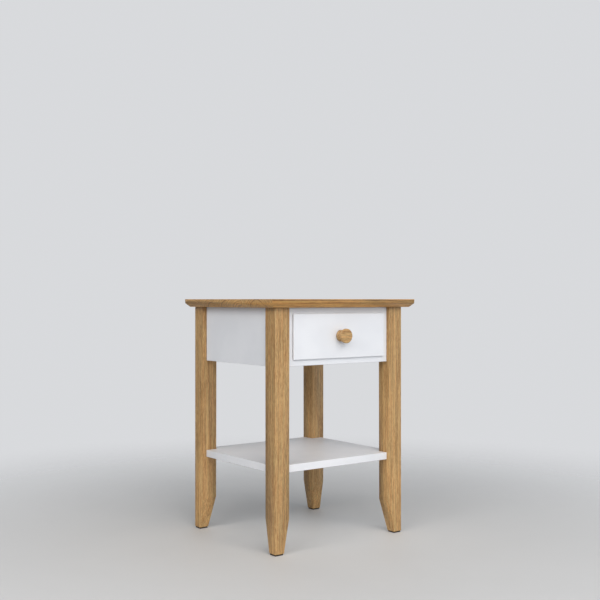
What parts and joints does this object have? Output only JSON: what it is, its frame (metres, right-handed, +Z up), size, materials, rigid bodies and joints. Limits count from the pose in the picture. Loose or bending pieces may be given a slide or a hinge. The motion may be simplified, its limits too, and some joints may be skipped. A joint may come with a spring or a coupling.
{
  "type": "nightstand",
  "caption": "Nightstand with a chamfered oak top, square oak legs tapered at the foot, a white case with a sliding drawer and turned knob, and a low open shelf.",
  "frame": {"origin": "on the floor, under the middle of the top board", "axes": "+Z up, +X to the right seen from the front, -Y out of the front, the way the drawer opens"},
  "size_m": [0.451, 0.397, 0.602],
  "materials": {
    "oak": "satin lacquered oak",
    "white_paint": "satin white paint on board",
    "pine": "planed bare softwood",
    "dowel": "bare beech",
    "plywood": "sanded bare plywood",
    "steel": "bright zinc plate",
    "foot_pad": "matt dark brown"
  },
  "bodies": {
    "carcass": {"top_board": "oak", "leg_front_left": "oak", "leg_front_right": "oak", "leg_back_left": "oak", "leg_back_right": "oak", "side_panel_left": "white_paint", "side_panel_right": "white_paint", "back_panel": "white_paint", "front_rail_top": "white_paint", "front_rail_bottom": "white_paint", "front_stile_left": "white_paint", "front_stile_right": "white_paint", "shelf": "white_paint", "drawer_guide_left": "pine", "drawer_guide_right": "pine", "drawer_runner_left": "pine", "drawer_runner_right": "pine", "drawer_kicker_left": "pine", "drawer_kicker_right": "pine", "stop_batten": "pine", "shelf_dowel_front_left": "dowel", "shelf_dowel_front_right": "dowel", "shelf_dowel_back_left": "dowel", "shelf_dowel_back_right": "dowel", "guide_screw_front_left": "steel", "guide_screw_front_right": "steel", "guide_screw_back_left": "steel", "guide_screw_back_right": "steel", "top_screw_front_left": "steel", "top_screw_front_right": "steel", "top_screw_back_left": "steel", "top_screw_back_right": "steel", "batten_screw_left": "steel", "batten_screw_right": "steel", "stop_button_screw": "steel", "foot_pad_front_left": "foot_pad", "foot_pad_front_right": "foot_pad", "foot_pad_back_left": "foot_pad", "foot_pad_back_right": "foot_pad"},
    "drawer": {"drawer_front": "white_paint", "drawer_box_front": "pine", "drawer_back": "pine", "drawer_side_left": "pine", "drawer_side_right": "pine", "drawer_bottom": "plywood", "knob": "oak", "knob_screw": "steel", "front_screw_left": "steel", "front_screw_right": "steel"},
    "stop_button": {"stop_button": "pine"}
  },
  "joints": [
    {"name": "drawer_slide", "type": "slide", "parent": "carcass", "child": "drawer", "axis": [0, -1, 0], "range_m": [0, 0.2]},
    {"name": "stop_button_turn", "type": "hinge", "parent": "carcass", "child": "stop_button", "pos_m": [0, -0.07635, 0.5715], "axis": [0, 1, 0], "range_deg": [-90, 90]}
  ]
}
